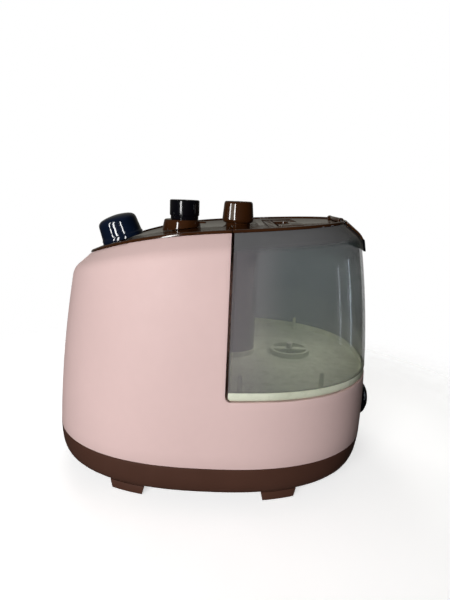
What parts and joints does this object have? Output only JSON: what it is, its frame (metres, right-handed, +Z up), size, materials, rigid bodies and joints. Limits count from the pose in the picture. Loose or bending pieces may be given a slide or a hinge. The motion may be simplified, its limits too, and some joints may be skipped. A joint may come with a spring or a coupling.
{
  "type": "cool mist humidifier",
  "caption": "Oval table-top cool mist humidifier: pink housing on a brown base, smoky lift-out tank with filler flap and folding handle, tilted dial and swivelling mist nozzles.",
  "frame": {"origin": "on the surface the humidifier stands on, under the middle of its bounding box", "axes": "+X towards the tank and the drain cap, +Y towards the side with the mains inlet, +Z up"},
  "size_m": [0.324, 0.247, 0.2558],
  "materials": {
    "shell_pink": "satin, fine moulded texture",
    "base_brown": "satin",
    "brown_gloss": "polished",
    "black_gloss": "polished",
    "dial_navy": "polished",
    "tank_smoke": "clear, polished",
    "tank_pale": "translucent, satin",
    "white_plastic": "satin",
    "black_plastic": "satin",
    "rubber": "matte",
    "steel": "bright",
    "aluminium": "plain",
    "brass": "bright",
    "circuit_board": "solder mask",
    "winding": "enamelled copper",
    "filter_foam": "open foam",
    "ceramic": "glazed"
  },
  "bodies": {
    "housing": {"base_pan": "base_brown", "foot_1": "base_brown", "foot_2": "base_brown", "foot_3": "base_brown", "foot_4": "base_brown", "base_screw_1": "steel", "base_screw_2": "steel", "base_screw_3": "steel", "base_screw_4": "steel", "body_shell": "shell_pink", "tank_cradle": "shell_pink", "top_panel": "brown_gloss", "dial_control": "black_plastic", "nozzle_collar": "brown_gloss", "front_chimney": "white_plastic", "rear_chimney": "white_plastic", "water_basin": "white_plastic", "chamber_cover": "white_plastic", "transducer_disc": "ceramic", "transducer_gasket": "rubber", "transducer_ring": "brass", "driver_board": "circuit_board", "heat_sink": "aluminium", "power_board": "circuit_board", "transformer": "winding", "blower_housing": "black_plastic", "blower_cover": "black_plastic", "fan_motor": "steel", "air_filter": "filter_foam", "duct_seal": "rubber", "power_inlet": "black_plastic", "dial_lead": "black_plastic", "inlet_lead": "black_plastic", "link_lead": "black_plastic"},
    "dial": {"dial_knob": "dial_navy", "dial_shaft": "steel"},
    "front_spout": {"front_nozzle": "black_gloss"},
    "rear_spout": {"rear_nozzle": "brown_gloss"},
    "tank": {"water_tank": "tank_smoke", "tank_bottom": "tank_pale", "tank_lid": "brown_gloss", "handle_pin_left": "steel", "handle_pin_right": "steel", "flap_pin": "steel", "valve_cap": "white_plastic", "valve_spring": "steel"},
    "handle": {"tank_handle": "brown_gloss"},
    "flap": {"fill_flap": "brown_gloss", "flap_tab": "black_gloss"},
    "plunger": {"valve_plunger": "white_plastic", "valve_seal": "rubber"},
    "float": {"water_float": "white_plastic"},
    "blower": {"blower_wheel": "white_plastic"},
    "drain": {"drain_cap": "black_gloss", "drain_seal": "rubber"}
  },
  "joints": [
    {"name": "dial_turn", "type": "hinge", "parent": "housing", "child": "dial", "pos_m": [-0.1014, 0, 0.21302], "axis": [-0.3338, 0, 0.9426], "range_deg": [-270, 0]},
    {"name": "front_spout_turn", "type": "hinge", "parent": "housing", "child": "front_spout", "pos_m": [-0.04, 0, 0.24], "axis": [0, 0, 1], "continuous": true},
    {"name": "rear_spout_turn", "type": "hinge", "parent": "housing", "child": "rear_spout", "pos_m": [0.0138, 0, 0.24], "axis": [0, 0, 1], "continuous": true},
    {"name": "tank_lift", "type": "slide", "parent": "housing", "child": "tank", "axis": [0, 0, 1], "range_m": [0, 0.2]},
    {"name": "handle_fold", "type": "hinge", "parent": "tank", "child": "handle", "pos_m": [0.07, 0, 0.23498], "axis": [0, 1, 0], "range_deg": [0, 95]},
    {"name": "flap_open", "type": "hinge", "parent": "tank", "child": "flap", "pos_m": [0.111, 0, 0.24228], "axis": [0, -1, 0], "range_deg": [0, 110]},
    {"name": "valve_lift", "type": "slide", "parent": "tank", "child": "plunger", "axis": [0, 0, 1], "range_m": [0, 0.003], "stiffness_N_per_m": 120, "springref_m": -0.003, "deforming": ["valve_spring"]},
    {"name": "float_rise", "type": "slide", "parent": "housing", "child": "float", "axis": [0, 0, 1], "range_m": [0, 0.02]},
    {"name": "blower_spin", "type": "hinge", "parent": "housing", "child": "blower", "pos_m": [-0.104, 0, 0.08], "axis": [0, 0, 1], "continuous": true},
    {"name": "drain_cap_turn", "type": "hinge", "parent": "housing", "child": "drain", "pos_m": [0.15, 0, 0.052], "axis": [1, 0, 0], "continuous": true}
  ]
}
